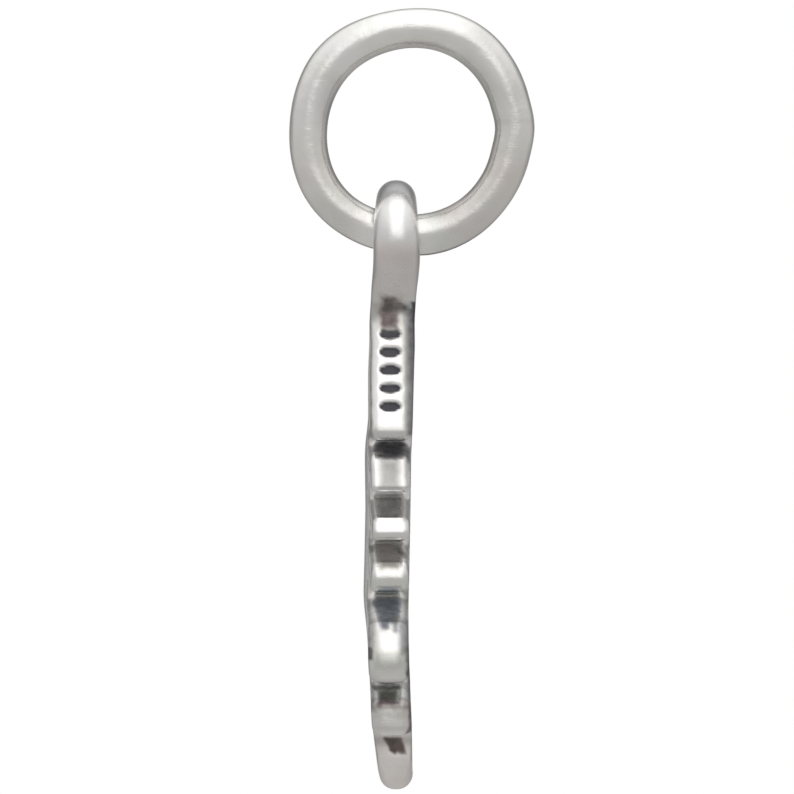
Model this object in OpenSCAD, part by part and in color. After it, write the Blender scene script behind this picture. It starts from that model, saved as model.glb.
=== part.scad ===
// Silver charm: a cast leaf with lobed edges that hangs edge-on from a round jump ring.
// X is the leaf's thickness, with its front towards -X. Y is its width. Z is up.
// The origin is the point at the top of the ring's opening that the chain bears on.

/* [Ring] */
// Outer diameter of the jump ring
ring_d = 6.0; // [5.9:0.05:6.4]
// Diameter of the ring's wire
wire_d = 0.95; // [0.8:0.05:1.0]
// How far the charm hangs to the front of the ring's middle
hang_offset = 0.37; // [0:0.01:0.37]

/* [Loop] */
// Diameter of the hole in the loop
hole_d = 1.36; // [1.34:0.01:1.5]
// Wall of the loop, from its hole to its outer edge
loop_wall = 0.78; // [0.76:0.01:0.84]
// Front-to-back size of the loop
loop_w = 1.1; // [1.0:0.01:1.1]
// Clearance between the loop's bearing point and the wire
hang_gap = 0.04; // [0.035:0.005:0.06]

/* [Leaf] */
// Width of the whole leaf, as a share of its drawn width
width_scale = 1.0; // [0.95:0.01:1.05]
// Rise of the leaf's front from its edge to its middle
crown = 0.13; // [0.08:0.01:0.2]
// Height of the raised midrib
rib_height = 0.07; // [0.03:0.01:0.1]
// Half-width of the raised midrib at the top of the leaf
rib_half = 0.3; // [0.25:0.01:0.35]
// Rounding of the leaf's edge, as a share of its drawn rounding
edge_scale = 1.0; // [0.8:0.05:1.05]
// Slant of the lobes below the horizontal, in degrees
slant = 20; // [19.5:0.25:20.5]

/* [Hidden] */

// Ring, worked out from the chain's bearing point at the origin
wire_r = wire_d / 2;
ring_path_r = ring_d / 2 - wire_r;
ring_z = -(ring_path_r - wire_r);

// Loop, hung on the wire beside the ring's lowest point
hang_x = -hang_offset;
wire_z = ring_z - sqrt(ring_path_r * ring_path_r - hang_offset * hang_offset);
hole_r = hole_d / 2;
loop_z = wire_z + wire_r + hang_gap - hole_r;
loop_outer_r = hole_r + loop_wall;

// The loop's wall is widest at this radius, with a round dome outside it and a flatter one inside
dome_r = loop_w / 2;
widest_r = loop_outer_r - dome_r;
lining_rise = widest_r - hole_r;
lining_r = (dome_r * dome_r + lining_rise * lining_rise) / (2 * lining_rise);

// Edge of the leaf, walked down one side as a belt round circles, with drops below the loop's middle.
// A lobe has two or three corners, and a bay parts it from the next lobe.
// Turn is 1 round a corner and -1 round a bay, and reach is how far the rounded edge reaches inwards.
// Columns: [out, drop, radius, turn, reach]
OUT = 0;
DROP = 1;
RADIUS = 2;
TURN = 3;
REACH = 4;
NECK = [0.96, 1.78, 0.32, -1, 0.27];
LOBES = [
    // shoulder
    [1.60, 4.64, 0.24, 1, 0.20],
    [1.10, 4.87, 0.14, -1, 0.19],
    // first lobe
    [1.36, 5.61, 0.45, 1, 0.19],
    [1.87, 5.98, 0.13, 1, 0.12],
    [1.14, 6.12, 0.17, -1, 0.17],
    // second lobe
    [1.98, 6.90, 0.22, 1, 0.19],
    [2.12, 7.08, 0.20, 1, 0.18],
    [1.42, 7.25, 0.14, -1, 0.19],
    // third lobe
    [2.20, 8.04, 0.30, 1, 0.19],
    [2.30, 8.17, 0.34, 1, 0.19],
    [1.47, 8.50, 0.18, -1, 0.20],
    // fourth and widest lobe
    [2.60, 9.40, 0.22, 1, 0.20],
    [2.52, 10.20, 0.88, 1, 0.26],
    [2.98, 10.28, 0.42, 1, 0.26],
    [1.51, 10.46, 0.20, -1, 0.22],
    // fifth lobe
    [2.34, 11.29, 0.24, 1, 0.20],
    [2.36, 11.72, 0.24, 1, 0.20],
    [1.30, 11.87, 0.18, -1, 0.20],
    // end lobe
    [0.66, 12.52, 0.48, 1, 0.36],
    [0.00, 12.66, 0.70, 1, 0.40],
];

// The leaf seen from its side, with drops below the loop's middle.
// Rise is the share of the crown and midrib that the front has, and flat is the share of the edge's
// width that lies flat between its rounded corners.
// Columns: [drop, front, back, rise, flat]
SIDE = [
    [0.82, -0.63, -0.11, 0.0, 0.20],
    [0.95, -0.74, 0.00, 0.0, 0.20],
    [1.05, -0.82, 0.08, 0.0, 0.20],
    [1.15, -0.88, 0.13, 0.0, 0.20],
    [1.30, -0.94, 0.15, 0.0, 0.20],
    [1.40, -0.955, 0.14, 0.0, 0.20],
    [1.95, -0.995, 0.105, 0.0, 0.35],
    [2.60, -1.004, 0.11, 0.4, 0.54],
    [3.20, -1.03, 0.09, 0.4, 0.54],
    [4.35, -1.026, 0.06, 0.4, 0.52],
    [4.90, -1.093, 0.04, 0.6, 0.58],
    [5.25, -1.11, 0.02, 0.8, 0.72],
    [6.50, -1.094, 0.005, 1.0, 0.70],
    [7.80, -1.12, -0.02, 1.0, 0.68],
    [8.60, -1.142, -0.04, 0.8, 0.60],
    [8.95, -1.12, -0.044, 0.6, 0.50],
    [9.50, -1.06, -0.044, 0.2, 0.20],
    [10.20, -1.016, -0.03, 0.0, 0.20],
    [10.60, -0.988, -0.01, 0.0, 0.28],
    [11.20, -0.955, 0.01, 0.0, 0.40],
    [11.60, -0.94, 0.03, 0.0, 0.35],
    [12.15, -0.876, 0.042, 0.0, 0.30],
    [12.90, -0.782, 0.054, 0.0, 0.10],
    [13.40, -0.61, 0.120, 0.0, 0.08],
];
SIDE_DROP = 0;
FRONT = 1;
BACK = 2;
RISE = 3;
FLAT = 4;

// Distance out from the midrib at which the front has fallen back fully: at no drop, and for each drop
FALL_OUT = 0.95;
FALL_GAIN = 0.21;

// The midrib's width, as a share of the width asked for: at no drop, and lost for each drop
RIB_TOP = 1.15;
RIB_LOSS = 1 / 18;

// The edge's flat part reaches less far towards the back than towards the front, by this share
BACK_FLAT = 0.8;

// Steps of the leaf's surface, and how closely the front's steps crowd towards the midrib
ARC_STEP = 17;
FRONT_STEPS = 6;
BACK_STEPS = 3;
CORNER_STEPS = 3;
CROWDING = 1.25;

// The first sections cross the straight run from the loop to the neck at these shares of it
LEAVE_SHARES = [0.2, 0.4, 0.6, 0.8];

// Direction in which the edge faces where the two sides meet at the tip
TIP_END = -84;

function place(c) = [c[OUT] * width_scale, -c[DROP]];
function signed(c) = c[RADIUS] * c[TURN];

// Direction of the edge's outward normal where it runs straight from one circle to the next
function line_normal(a, b) =
    let (d = place(b) - place(a), run = norm(d))
    atan2(d[1], d[0]) + acos((signed(a) - signed(b)) / run);

// The angle that is reached from start by turning the circle's own way
function wound(start, end, turn) =
    turn > 0 ? start - ((start - end) % 360 + 360) % 360
             : start + ((end - start) % 360 + 360) % 360;

// A point of the edge is [point, normal, reach, lean]. Lean is the share of the slant that the section
// through it has.
LEAN = 3;

// Points round one circle of the belt
function arc(c, from, to) =
    let (end = wound(from, to, c[TURN]),
         steps = max(2, ceil(abs(end - from) / ARC_STEP)))
    [for (i = [0 : steps])
        let (a = from + (end - from) * i / steps, n = [cos(a), sin(a)])
        [place(c) + signed(c) * n, n, c[REACH] * edge_scale, 1]];

LOOP = [0, 0, loop_outer_r / width_scale, 1];
BELT = concat([LOOP, NECK], LOBES);
LAST = len(BELT) - 1;

// Points on the straight run from the loop to the neck, where the sections lean over step by step
LEAVE_NORMAL = line_normal(LOOP, NECK);
LEAVE_SIDE = [cos(LEAVE_NORMAL), sin(LEAVE_NORMAL)];
LEAVE_FROM = place(LOOP) + signed(LOOP) * LEAVE_SIDE;
LEAVE_TO = place(NECK) + signed(NECK) * LEAVE_SIDE;
LEAVES = [
    for (s = LEAVE_SHARES)
        [LEAVE_FROM + (LEAVE_TO - LEAVE_FROM) * s,
         LEAVE_SIDE,
         NECK[REACH] * edge_scale,
         (s - LEAVE_SHARES[0]) / (1 - LEAVE_SHARES[0])]
];

EDGE = concat(LEAVES, [
    for (k = [1 : LAST])
        let (from = line_normal(BELT[k - 1], BELT[k]),
             to = k == LAST ? TIP_END : line_normal(BELT[k], BELT[k + 1]))
        each arc(BELT[k], from, to)
]);

// A column of the side table at any drop
function side(drop, column) = lookup(drop, [for (row = SIDE) [row[SIDE_DROP], row[column]]]);

function smooth(t) = let (c = min(max(t, 0), 1)) c * c * (3 - 2 * c);

// Share of the midrib's height, and how far the front has fallen back, beside the midrib
function rib_share(y, drop) = 1 - smooth(abs(y) / (rib_half * (RIB_TOP - RIB_LOSS * drop)));
function fall(y, drop) = pow(min(1, abs(y) / (FALL_OUT + FALL_GAIN * drop)), 2);
function front_x(y, drop) =
    side(drop, FRONT)
    + side(drop, RISE) * (crown * fall(y, drop) + rib_height * (1 - rib_share(y, drop)));

// One half of a section, from the midrib's front out to the edge and back in to the midrib's back
function half_section(e) =
    let (n = e[1], reach = e[2],
         inner = e[0] - reach * n,
         root = [0, inner[1] + inner[0] * tan(slant * e[LEAN])],
         front = front_x(inner[0], -inner[1]),
         back = side(-inner[1], BACK),
         half = (back - front) / 2,
         flat = side(-inner[1], FLAT))
    concat(
        [for (i = [0 : FRONT_STEPS - 1])
            let (q = root + (inner - root) * pow(i / FRONT_STEPS, CROWDING))
            [front_x(q[0], -q[1]), q[0], q[1]]],
        [for (s = [-1, 1], i = [0 : CORNER_STEPS])
            let (a = 90 * (s < 0 ? i : CORNER_STEPS - i) / CORNER_STEPS,
                 level = flat * (s < 0 ? 1 : BACK_FLAT),
                 q = inner + reach * sin(a) * n)
            [(front + back) / 2 + s * half * (level + (1 - level) * cos(a)), q[0], q[1]]],
        [for (i = [BACK_STEPS - 1 : -1 : 0])
            let (q = root + (inner - root) * i / BACK_STEPS)
            [side(-q[1], BACK), q[0], q[1]]]
    );

// The whole section: one half, then its mirror image without the two points on the midrib
function section(e) =
    let (half = half_section(e), n = len(half))
    concat(half, [for (i = [n - 2 : -1 : 1]) [half[i][0], -half[i][1], half[i][2]]]);

// Number of the last point of a half, which lies on the midrib's back
HALF = FRONT_STEPS + 2 * CORNER_STEPS + 1 + BACK_STEPS;
function middle(ring) = (ring[0] + ring[HALF]) / 2;

// A skin over a row of sections. A fan closes it at the top, and strips between its halves at the tip.
module skin(rings) {
    rows = len(rings);
    cols = len(rings[0]);
    points = concat([for (r = rings) each r], [middle(rings[0])]);
    start = rows * cols;
    tip = start - cols;
    faces = concat(
        [for (r = [0 : rows - 2], c = [0 : cols - 1])
            let (next = (c + 1) % cols)
            each [
                [r * cols + c, (r + 1) * cols + next, r * cols + next],
                [r * cols + c, (r + 1) * cols + c, (r + 1) * cols + next]
            ]],
        [for (c = [0 : cols - 1]) [start, c, (c + 1) % cols]],
        [[tip + 1, tip, tip + cols - 1]],
        [for (c = [1 : HALF - 2])
            let (here = tip + c, there = tip + cols - c)
            each [[here + 1, here, there], [here + 1, there, there - 1]]],
        [[tip + HALF, tip + HALF - 1, tip + HALF + 1]]
    );
    polyhedron(points, faces);
}

// Section of the loop's wall, where the round dome and the flatter lining overlap
module loop_section() {
    intersection() {
        translate([widest_r, 0]) circle(r = dome_r);
        translate([hole_r + lining_r, 0]) circle(r = lining_r);
    }
}

module jump_ring() {
    color("silver")
    translate([0, 0, ring_z])
    rotate([90, 0, 0])
    rotate_extrude($fn = 96)
        translate([ring_path_r, 0]) circle(r = wire_r, $fn = 32);
}

module leaf_charm() {
    color("silver")
    union() {
        translate([hang_x, 0, loop_z])
        rotate([0, 90, 0])
        rotate_extrude($fn = 64)
            loop_section($fn = 32);
        translate([0, 0, loop_z]) skin([for (e = EDGE) section(e)]);
    }
}

jump_ring();
leaf_charm();
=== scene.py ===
"""Looks of a cast silver leaf charm that hangs edge-on from its jump ring.

Lengths are worked out in millimetres and turned into metres where a mesh is made. The leaf's front
faces -X, the camera looks along +Y, and Z is up. Drops are measured down from the middle of the loop.
"""
import logging
import math
from dataclasses import dataclass, field
from enum import Enum
from typing import Any, Callable, Sequence

import bmesh
import bpy
import numpy as np
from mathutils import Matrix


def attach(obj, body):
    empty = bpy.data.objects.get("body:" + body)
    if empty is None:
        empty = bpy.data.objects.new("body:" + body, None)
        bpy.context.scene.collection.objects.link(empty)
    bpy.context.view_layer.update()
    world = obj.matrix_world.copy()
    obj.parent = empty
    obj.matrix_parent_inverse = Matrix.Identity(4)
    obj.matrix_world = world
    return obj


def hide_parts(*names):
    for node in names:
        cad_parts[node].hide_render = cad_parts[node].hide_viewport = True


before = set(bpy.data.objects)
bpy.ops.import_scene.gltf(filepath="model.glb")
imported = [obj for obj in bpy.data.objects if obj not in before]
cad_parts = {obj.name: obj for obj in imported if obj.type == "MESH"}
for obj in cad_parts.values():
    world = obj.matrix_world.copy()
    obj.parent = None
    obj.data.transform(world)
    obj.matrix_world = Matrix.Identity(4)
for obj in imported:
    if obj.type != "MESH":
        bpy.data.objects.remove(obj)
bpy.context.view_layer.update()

log = logging.getLogger("leaf_charm")

MM = 0.001
WELD = 0.0005
# socket numbers of a Mix node that mixes colours
MIX_FACTOR = 0
MIX_FIRST = 6
MIX_SECOND = 7
MIX_RESULT = 2

Colour = tuple[float, float, float]
Axes = tuple[float, float, float]
Span = tuple[float, float]


class Turn(Enum):
    """Which way the leaf's edge turns round a circle."""

    CORNER = 1
    BAY = -1


class Column(Enum):
    """The columns of the side view's table, where the first one holds the drop."""

    FRONT = 1
    BACK = 2
    RISE = 3
    FLAT = 4


class Patch(Enum):
    """The mesh attributes that tell a finish where it is."""

    # soot and film hold patina and tarnish, and painted shade in places
    SOOT_AND_SHADE = "soot"
    FILM_AND_SHADE = "film"
    TINT = "tint"


def smooth(t: np.ndarray | float) -> np.ndarray:
    """A smooth step from 0 to 1 as t goes from 0 to 1."""
    c = np.clip(t, 0.0, 1.0)
    return c * c * (3.0 - 2.0 * c)


def between(value: np.ndarray, low: float, high: float) -> np.ndarray:
    """A smooth step from 0 to 1 as the value goes from low to high."""
    return smooth((value - low) / (high - low))


def hump(value: np.ndarray, centre: float, half: float) -> np.ndarray:
    """A smooth hump of height 1 at the centre that ends half a width away on each side."""
    return 1.0 - smooth(np.abs(value - centre) / half)


def waves(seed: int, count: int, shortest: float, longest: float) -> Callable[[np.ndarray], np.ndarray]:
    """A wandering curve made of a few sine waves.

    Args:
        seed: Fixes the waves.
        count: How many waves are added.
        shortest: Shortest wavelength, in millimetres.
        longest: Longest wavelength, in millimetres.

    Returns:
        A function of distance that stays near -1 to 1.
    """
    rng = np.random.default_rng(seed)
    lengths = rng.uniform(shortest, longest, count)
    phases = rng.uniform(0.0, math.tau, count)
    weights = rng.uniform(0.5, 1.0, count)

    def curve(run: np.ndarray) -> np.ndarray:
        """The height of the curve at a distance."""
        total = sum(w * np.sin(math.tau * run / s + p) for w, s, p in zip(weights, lengths, phases))
        return total / weights.sum()

    return curve


@dataclass
class Skin:
    """A mesh being made: points in millimetres, four-sided faces and values at each point."""

    points: np.ndarray
    faces: np.ndarray
    values: dict[Patch, np.ndarray]

    def joined(self, other: "Skin") -> "Skin":
        """This skin and another as one mesh.

        Args:
            other: The skin whose points come second.

        Returns:
            A new skin, in which each has its own points.
        """
        return Skin(
            np.vstack([self.points, other.points]),
            np.vstack([self.faces, other.faces + len(self.points)]),
            {key: np.concatenate([self.values[key], other.values[key]]) for key in self.values},
        )

    def build(self, name: str, material: bpy.types.Material) -> bpy.types.Object:
        """Makes the Blender object.

        Args:
            name: Name of the object and its mesh.
            material: The finish of the whole mesh.

        Returns:
            The new object, smooth shaded and linked to the scene.
        """
        mesh = bpy.data.meshes.new(name)
        mesh.vertices.add(len(self.points))
        mesh.vertices.foreach_set("co", (self.points * MM).astype(np.float32).ravel())
        mesh.loops.add(self.faces.size)
        mesh.loops.foreach_set("vertex_index", self.faces.astype(np.int32).ravel())
        mesh.polygons.add(len(self.faces))
        starts = np.arange(0, self.faces.size, self.faces.shape[1], dtype=np.int32)
        mesh.polygons.foreach_set("loop_start", starts)
        mesh.update(calc_edges=True)
        for key, value in self.values.items():
            layer = mesh.attributes.new(key.value, "FLOAT", "POINT")
            layer.data.foreach_set("value", value.astype(np.float32))
        welded = bmesh.new()
        welded.from_mesh(mesh)
        bmesh.ops.remove_doubles(welded, verts=welded.verts, dist=WELD * MM)
        welded.to_mesh(mesh)
        welded.free()
        mesh.shade_smooth()
        mesh.materials.append(material)
        obj = bpy.data.objects.new(name, mesh)
        bpy.context.scene.collection.objects.link(obj)
        return obj


def grid_faces(rows: int, cols: int, rows_close: bool, cols_close: bool = True) -> np.ndarray:
    """The four-sided faces of a grid.

    Args:
        rows: How many rows of points there are.
        cols: How many points there are in a row.
        rows_close: Whether the last row joins the first.
        cols_close: Whether the last point of a row joins its first.

    Returns:
        An array of four point numbers a face, turned outwards for rows that run down clockwise.
    """
    starts_down = np.arange(rows if rows_close else rows - 1)
    starts_across = np.arange(cols if cols_close else cols - 1)
    r, c = np.meshgrid(starts_down, starts_across, indexing="ij")
    down, across = (r + 1) % rows, (c + 1) % cols
    corners = [r * cols + c, r * cols + across, down * cols + across, down * cols + c]
    return np.stack(corners, axis=-1).reshape(-1, 4)


class Value:
    """A node's output socket as a Python value, whose operators add Math nodes."""

    def __init__(self, graph: "Graph", socket: bpy.types.NodeSocket) -> None:
        """Keeps the graph and the socket."""
        self.graph = graph
        self.socket = socket

    def _math(self, operation: str, *terms: Any) -> "Value":
        """Adds one Math node."""
        return self.graph.node("ShaderNodeMath", {"operation": operation}, dict(enumerate(terms)))

    def __add__(self, other: "Value | float") -> "Value":
        """The sum."""
        return self._math("ADD", self, other)

    def __radd__(self, other: float) -> "Value":
        """The sum, with the number first."""
        return self._math("ADD", other, self)

    def __sub__(self, other: "Value | float") -> "Value":
        """The difference."""
        return self._math("SUBTRACT", self, other)

    def __rsub__(self, other: float) -> "Value":
        """The difference, with the number first."""
        return self._math("SUBTRACT", other, self)

    def __mul__(self, other: "Value | float") -> "Value":
        """The product."""
        return self._math("MULTIPLY", self, other)

    def __rmul__(self, other: float) -> "Value":
        """The product, with the number first."""
        return self._math("MULTIPLY", other, self)

    def absolute(self) -> "Value":
        """The value without its sign."""
        return self._math("ABSOLUTE", self)

    def clamped(self) -> "Value":
        """The value held between 0 and 1."""
        return self.graph.node("ShaderNodeClamp", {}, {0: self})

    def step(self, low: float, high: float) -> "Value":
        """A smooth step from 0 at low to 1 at high."""
        settings = {"interpolation_type": "SMOOTHSTEP"}
        return self.graph.node("ShaderNodeMapRange", settings, {0: self, 1: low, 2: high})


@dataclass(frozen=True)
class Grain:
    """One size of noise: its waves a metre, its layers and how rough they are."""

    scale: float
    detail: float
    rough: float = 0.5


class Graph:
    """A node tree that is built from Python expressions."""

    def __init__(self, tree: bpy.types.NodeTree) -> None:
        """Empties the tree and keeps it."""
        self.tree = tree
        tree.nodes.clear()

    def node(
        self,
        kind: str,
        settings: dict[str, Any],
        inputs: dict[int | str, Any],
        output: int | str = 0,
    ) -> Value:
        """Adds a node of any kind.

        Args:
            kind: The node's type.
            settings: The node's own settings, which are set first. "stops" holds a ramp's stops.
            inputs: Socket number or name, and the value or link it gets.
            output: The output socket that is returned.

        Returns:
            The output as a value.
        """
        node = self.tree.nodes.new(kind)
        for key, value in settings.items():
            if key == "stops":
                self._set_stops(node, value)
            else:
                setattr(node, key, value)
        for key, value in inputs.items():
            if isinstance(value, Value):
                self.tree.links.new(value.socket, node.inputs[key])
            else:
                node.inputs[key].default_value = value
        has_output = len(node.outputs) > 0
        return Value(self, node.outputs[output] if has_output else None)

    @staticmethod
    def _set_stops(node: bpy.types.Node, stops: Sequence[tuple[float, Sequence[float]]]) -> None:
        """Sets a colour ramp's stops.

        Args:
            node: The ramp.
            stops: The place and the colour of each stop.
        """
        ramp = node.color_ramp
        while len(ramp.elements) > len(stops):
            ramp.elements.remove(ramp.elements[-1])
        for i, (place, colour) in enumerate(stops):
            if i >= len(ramp.elements):
                ramp.elements.new(place)
            ramp.elements[i].position = place
            ramp.elements[i].color = (*colour, 1.0)

    def mix(self, factor: Value | float, first: "Value | Colour", second: "Value | Colour") -> Value:
        """A colour between two others."""
        ends = {MIX_FACTOR: factor, MIX_FIRST: _colour(first), MIX_SECOND: _colour(second)}
        return self.node("ShaderNodeMix", {"data_type": "RGBA"}, ends, MIX_RESULT)

    def ramp(self, stops: Sequence[tuple[float, Colour]], factor: Value) -> Value:
        """A colour from a ramp."""
        return self.node("ShaderNodeValToRGB", {"stops": stops}, {0: factor})

    def noise(self, place: Value, grain: Grain) -> Value:
        """Even noise around 0.5."""
        size = {"Scale": grain.scale, "Detail": grain.detail, "Roughness": grain.rough}
        return self.node("ShaderNodeTexNoise", {}, {"Vector": place, **size})

    def bump(self, strength: float, distance: float, height: Value, normal: Value | None = None) -> Value:
        """A normal tilted by a height.

        Args:
            strength: How much of the height shows.
            distance: The height that 1 stands for, in metres.
            height: The height at each point.
            normal: The normal that is tilted, where it isn't the mesh's own.

        Returns:
            The tilted normal.
        """
        inputs = {"Strength": strength, "Distance": distance, "Height": height}
        if normal is not None:
            inputs["Normal"] = normal
        return self.node("ShaderNodeBump", {}, inputs)

    def finished(self, inputs: dict[str, Any]) -> None:
        """Ends a material with its surface, made with the given inputs."""
        surface = self.node("ShaderNodeBsdfPrincipled", {}, inputs)
        self.node("ShaderNodeOutputMaterial", {}, {"Surface": surface})

    def patch(self, key: Patch) -> Value:
        """A value that the mesh holds at its points."""
        return self.node("ShaderNodeAttribute", {"attribute_name": key.value}, {}, "Fac")

    def place(self) -> Value:
        """The point's own place on the piece."""
        return self.node("ShaderNodeTexCoord", {}, {}, "Object")

    def stretched(self, place: Value, scale: Axes, turn: Axes) -> Value:
        """A place turned and stretched, for marks that run one way."""
        return self.node("ShaderNodeMapping", {}, {0: place, "Rotation": turn, "Scale": scale})


def _colour(value: Value | Colour) -> Any:
    """A link as it is, or three numbers as an opaque colour."""
    return value if isinstance(value, Value) else (*value, 1.0)


@dataclass(frozen=True)
class Silver:
    """Bright silver that has been tumbled, handled and darkened in its hollows, with painted shade where
    its soot and film darken glints, highlights, corners and undersides.

    A ramp's places are the mesh's tint: about 0.1 is bluish, 0.4 plain, 0.7 greenish and 1 rosy.
    """

    name: str
    bright: Colour = (0.885, 0.892, 0.893)
    warm: Colour = (0.86, 0.842, 0.822)
    rosy: Colour = (0.88, 0.835, 0.81)
    dark: Colour = (0.050, 0.048, 0.050)
    metal_hues: tuple[tuple[float, Colour], ...] = (
        (0.1, (0.880, 0.888, 0.905)),
        (0.4, (0.878, 0.872, 0.862)),
        (0.7, (0.868, 0.884, 0.838)),
        (1.0, (0.892, 0.842, 0.815)),
    )
    film_hues: tuple[tuple[float, Colour], ...] = (
        (0.1, (0.300, 0.300, 0.325)),
        (0.4, (0.300, 0.296, 0.290)),
        (0.7, (0.300, 0.306, 0.276)),
        (1.0, (0.335, 0.298, 0.290)),
    )
    soot_hues: tuple[tuple[float, Colour], ...] = (
        (0.0, (0.125, 0.175, 0.245)),
        (0.2, (0.050, 0.050, 0.065)),
        (0.4, (0.130, 0.130, 0.145)),
        (0.6, (0.160, 0.162, 0.135)),
        (0.8, (0.250, 0.192, 0.212)),
        (1.0, (0.125, 0.100, 0.082)),
    )
    drift: Grain = Grain(320.0, 1.0)
    cloud: Grain = Grain(900.0, 3.0, 0.55)
    speck: Grain = Grain(5200.0, 3.0, 0.6)
    fine: Grain = Grain(16000.0, 2.0, 0.6)
    hair_along: Grain = Grain(26000.0, 1.0)
    hair_along_scale: Axes = (1.0, 1.0, 0.06)
    hair_along_turn: Axes = (0.35, 0.2, 0.0)
    hair_along_edge: Span = (0.60, 0.74)
    hair_across: Grain = Grain(22000.0, 1.0)
    hair_across_scale: Axes = (0.07, 1.0, 1.0)
    hair_across_turn: Axes = (0.1, -0.5, 0.3)
    hair_across_edge: Span = (0.62, 0.76)
    soot_cloud: float = 0.25
    soot_speck: float = 0.40
    soot_edge: Span = (0.12, 0.92)
    film_cloud: float = 0.35
    warm_edge: Span = (0.35, 0.7)
    rosy_edge: Span = (0.45, 0.60)
    rosy_share: float = 0.8
    cast_share: float = 0.6
    hue_cloud: float = 0.3
    crust_edge: Span = (0.40, 0.65)
    crust_share: float = 0.4
    polish: float = 0.12
    dull: float = 0.27
    dull_speck: float = 0.45
    dull_cloud: float = 0.55
    hair_dull: float = 0.05
    film_dull: float = 0.16
    soot_roughness: float = 0.42
    soot_cover: float = 0.55
    dents: float = 0.32
    dent_height: float = 0.0001
    dent_cloud: float = 0.8
    dent_speck: float = 0.2
    scratches: float = 0.12
    scratch_height: float = 0.000012
    scratch_fine: float = 0.5
    scratch_hair: float = 0.8

    def material(self) -> bpy.types.Material:
        """Builds the finish.

        Returns:
            The material, whose colour, roughness, metal share and normal vary over the surface.
        """
        material = bpy.data.materials.new(self.name)
        material.use_nodes = True
        g = Graph(material.node_tree)
        place = g.place()
        soot, film, tint = g.patch(Patch.SOOT_AND_SHADE), g.patch(Patch.FILM_AND_SHADE), g.patch(Patch.TINT)
        drift, cloud = g.noise(place, self.drift), g.noise(place, self.cloud)
        speck, fine = g.noise(place, self.speck), g.noise(place, self.fine)
        hairs = self._hairs(g, place)

        # soot and film darken the metal: patina and tarnish in the hollows, and painted shade over glints,
        # highlights, corners and undersides
        broken = soot + (cloud - 0.5) * self.soot_cloud + (speck - 0.5) * self.soot_speck
        depth = broken.step(*self.soot_edge)
        dim = (film + (cloud - 0.5) * self.film_cloud).clamped()

        metal = g.mix(cloud.step(*self.warm_edge), self.bright, self.warm)
        metal = g.mix(drift.step(*self.rosy_edge) * self.rosy_share, metal, self.rosy)
        metal = g.mix(self.cast_share, metal, g.ramp(self.metal_hues, tint))
        stained_and_shaded = g.mix(dim, metal, g.ramp(self.film_hues, tint))
        hue = g.ramp(self.soot_hues, tint + (cloud - 0.5) * self.hue_cloud)
        crust = g.mix(speck.step(*self.crust_edge) * self.crust_share, hue, self.dark)

        worn = speck * self.dull_speck + cloud * self.dull_cloud
        marked = self.polish + (self.dull - self.polish) * worn
        marked = marked + hairs * self.hair_dull + dim * self.film_dull
        dented = cloud * self.dent_cloud + speck * self.dent_speck
        dents = g.bump(self.dents, self.dent_height, dented)
        scratched = fine * self.scratch_fine - hairs * self.scratch_hair
        g.finished(
            {
                "Base Color": g.mix(depth, stained_and_shaded, crust),
                "Roughness": marked * (1.0 - depth) + depth * self.soot_roughness,
                "Metallic": 1.0 - depth * self.soot_cover,
                "Normal": g.bump(self.scratches, self.scratch_height, scratched, dents),
            }
        )
        return material

    def _hairs(self, g: Graph, place: Value) -> Value:
        """Fine scratches that cross each other.

        Args:
            g: The material's nodes.
            place: The point's place on the piece.

        Returns:
            1 on a scratch and 0 beside it.
        """
        along = g.noise(g.stretched(place, self.hair_along_scale, self.hair_along_turn), self.hair_along)
        across = g.stretched(place, self.hair_across_scale, self.hair_across_turn)
        across = g.noise(across, self.hair_across)
        return (along.step(*self.hair_along_edge) + across.step(*self.hair_across_edge)).clamped()


@dataclass(frozen=True)
class PalePaper:
    """Matt off-white studio paper."""

    colour: Colour = (0.57, 0.57, 0.565)
    shade: Colour = (0.54, 0.54, 0.535)
    mottle: Grain = Grain(300.0, 4.0)
    roughness: float = 0.9

    def material(self) -> bpy.types.Material:
        """Builds the finish.

        Returns:
            The material, slightly mottled.
        """
        material = bpy.data.materials.new("pale_paper")
        material.use_nodes = True
        g = Graph(material.node_tree)
        colour = g.mix(g.noise(g.place(), self.mottle), self.colour, self.shade)
        g.finished({"Base Color": colour, "Roughness": self.roughness})
        return material


@dataclass(frozen=True)
class BeltCircle:
    """A circle that the casting's outline turns round, and how far its rounded edge reaches in there."""

    out: float
    drop: float
    radius: float
    turn: Turn
    reach: float

    @property
    def centre(self) -> np.ndarray:
        """The middle, as distance out from the midrib and height."""
        return np.array([self.out, -self.drop])

    @property
    def signed(self) -> float:
        """The radius, negative for a bay."""
        return self.radius * self.turn.value


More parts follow.
